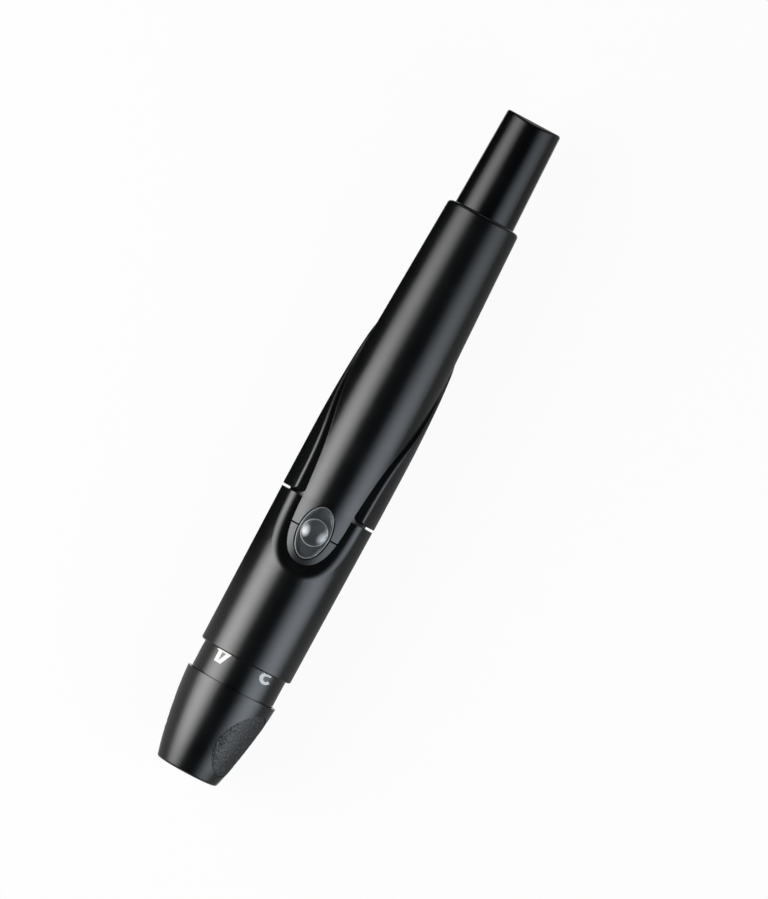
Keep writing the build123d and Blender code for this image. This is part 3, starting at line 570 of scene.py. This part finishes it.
def soft_lamp(name, middle_angle, brightest_angle, radiance, colour):
    """A flat lamp that faces the pen. Its light falls off from one spot by the bell curve of the distance."""
    turn = np.radians(middle_angle)
    lamp = bpy.data.lights.new(name, "AREA")
    lamp.shape, lamp.size, lamp.size_y = "RECTANGLE", lamp_width, lamp_length
    lamp.energy = radiance * np.pi * lamp_width * lamp_length
    lamp.color = colour
    lamp.use_nodes = True
    tree = lamp.node_tree
    tree.nodes.clear()
    spot = 0.5 + lamp_distance * np.tan(np.radians(brightest_angle) - turn) / lamp_width
    sheet = add_node(tree, "SeparateXYZ", Vector=add_node(tree, "NewGeometry").outputs["Parametric"]).outputs
    across = calc(tree, "MULTIPLY", calc(tree, "SUBTRACT", sheet["X"], spot), lamp_width / fade_across)
    along = calc(tree, "MULTIPLY", calc(tree, "SUBTRACT", sheet["Y"], 0.5), lamp_length / fade_along)
    squares = calc(tree, "ADD", calc(tree, "MULTIPLY", across, across), calc(tree, "MULTIPLY", along, along))
    bell = calc(tree, "EXPONENT", calc(tree, "MULTIPLY", squares, -0.5))
    glow = add_node(tree, "MapRange", Value=bell, From_Min=glow_from).outputs["Result"]
    add_node(tree, "OutputLight", Surface=add_node(tree, "Emission", Strength=glow).outputs["Emission"])
    holder = bpy.data.objects.new(name, lamp)
    holder.location = (lamp_distance * np.sin(turn), lamp_along, lamp_distance * np.cos(turn))
    holder.rotation_euler = (0.0, turn, 0.0)
    holder.visible_camera = False
    scene.collection.objects.link(holder)
    print("lamp:", name, round(lamp.energy, 2), "W")


soft_lamp("left lamp", middle_angle=-56.0, brightest_angle=-58.0, radiance=7.0, colour=(0.985, 1.0, 0.985))
soft_lamp("right lamp", middle_angle=56.0, brightest_angle=59.0, radiance=3.5, colour=(0.84, 0.92, 1.0))

# %% [markdown]
# ## Reflection cards
# Cards lie round the pen and show only in reflections. They keep the white floor out of the black flanks, as a
# photographer's dark cards do, and the left one pales towards the nose.

# %% Reflection cards
card_reach, card_gap, card_lift = 0.25, 8.6 * mm, 0.3 * mm
card_fade_from, card_fade_to, end_card_from = -45 * mm, -18 * mm, 58.5 * mm


def reflection_card(name, left, right, front, back, near_nose, far_from_nose):
    """A sheet just over the floor beside the pen, as bright as two numbers say, seen only in reflections."""
    corners = [(left, front, card_lift), (right, front, card_lift), (right, back, card_lift), (left, back, card_lift)]
    mesh = bpy.data.meshes.new(name)
    mesh.from_pydata(corners, [], [(0, 1, 2, 3)])
    finish = bpy.data.materials.new(name)
    finish.use_nodes = True
    tree = finish.node_tree
    tree.nodes.clear()
    along = add_node(tree, "SeparateXYZ", Vector=add_node(tree, "TexCoord").outputs["Object"]).outputs["Y"]
    level = add_node(tree, "MapRange", {"interpolation_type": "SMOOTHSTEP"}, Value=along,
                     From_Min=card_fade_from, From_Max=card_fade_to, To_Min=near_nose,
                     To_Max=far_from_nose).outputs["Result"]
    glow = add_node(tree, "Emission", Strength=level)
    add_node(tree, "OutputMaterial", Surface=glow.outputs["Emission"])
    mesh.materials.append(finish)
    card = bpy.data.objects.new(name, mesh)
    card.visible_camera = card.visible_diffuse = card.visible_shadow = card.visible_transmission = False
    scene.collection.objects.link(card)
    print("card:", name, near_nose, "at the nose,", far_from_nose, "further on")


reflection_card("left card", -card_reach, -card_gap, -card_reach, card_reach, near_nose=0.37, far_from_nose=0.01)
reflection_card("right card", card_gap, card_reach, -card_reach, card_reach, near_nose=0.28, far_from_nose=0.22)
reflection_card("end card", -card_gap, card_gap, end_card_from, card_reach, near_nose=0.26, far_from_nose=0.26)

# %% [markdown]
# ## Room
# The room gives a little light from all sides. It is dim overhead and paler towards the floor.

# %% Room
room_low, room_high, room_fade = 0.40, 0.015, 0.5
room = bpy.data.worlds.new("room")
scene.world = room
room.use_nodes = True
tree = room.node_tree
tree.nodes.clear()
direction = add_node(tree, "TexCoord").outputs["Generated"]
upward = add_node(tree, "SeparateXYZ", Vector=direction).outputs["Z"]
shade = add_node(tree, "ValToRGB", Fac=upward)
for stop, position, grey in zip(shade.color_ramp.elements, (0.0, room_fade), (room_low, room_high)):
    stop.position, stop.color = position, (grey, grey, grey, 1.0)
sky = add_node(tree, "Background", Color=shade.outputs["Color"], Strength=1.0)
add_node(tree, "OutputWorld", Surface=sky.outputs["Background"])
print("room:", room_low, "at the floor to", room_high, "overhead")

# %% [markdown]
# ## Camera
# The photo looks straight down from a fair distance, with the pen lying aslant across the frame, its nose at the
# lower left. The view is 120 mm wide and 141 mm high at the pen's axis.

# %% Camera
view_height, camera_distance = 140.6 * mm, 0.80
camera_turn, camera_across, camera_along = np.radians(28.25), 3.42 * mm, 1.395 * mm
lens = bpy.data.cameras.new("camera")
lens.sensor_width = 36.0
lens.lens = lens.sensor_width * camera_distance / view_height
camera = bpy.data.objects.new("camera", lens)
camera.location = (camera_across, camera_along, axis_height + camera_distance)
camera.rotation_euler = (0.0, 0.0, camera_turn)
scene.collection.objects.link(camera)
scene.camera = camera
scene.view_settings.view_transform = "Standard"
print("camera:", round(lens.lens), "mm lens")
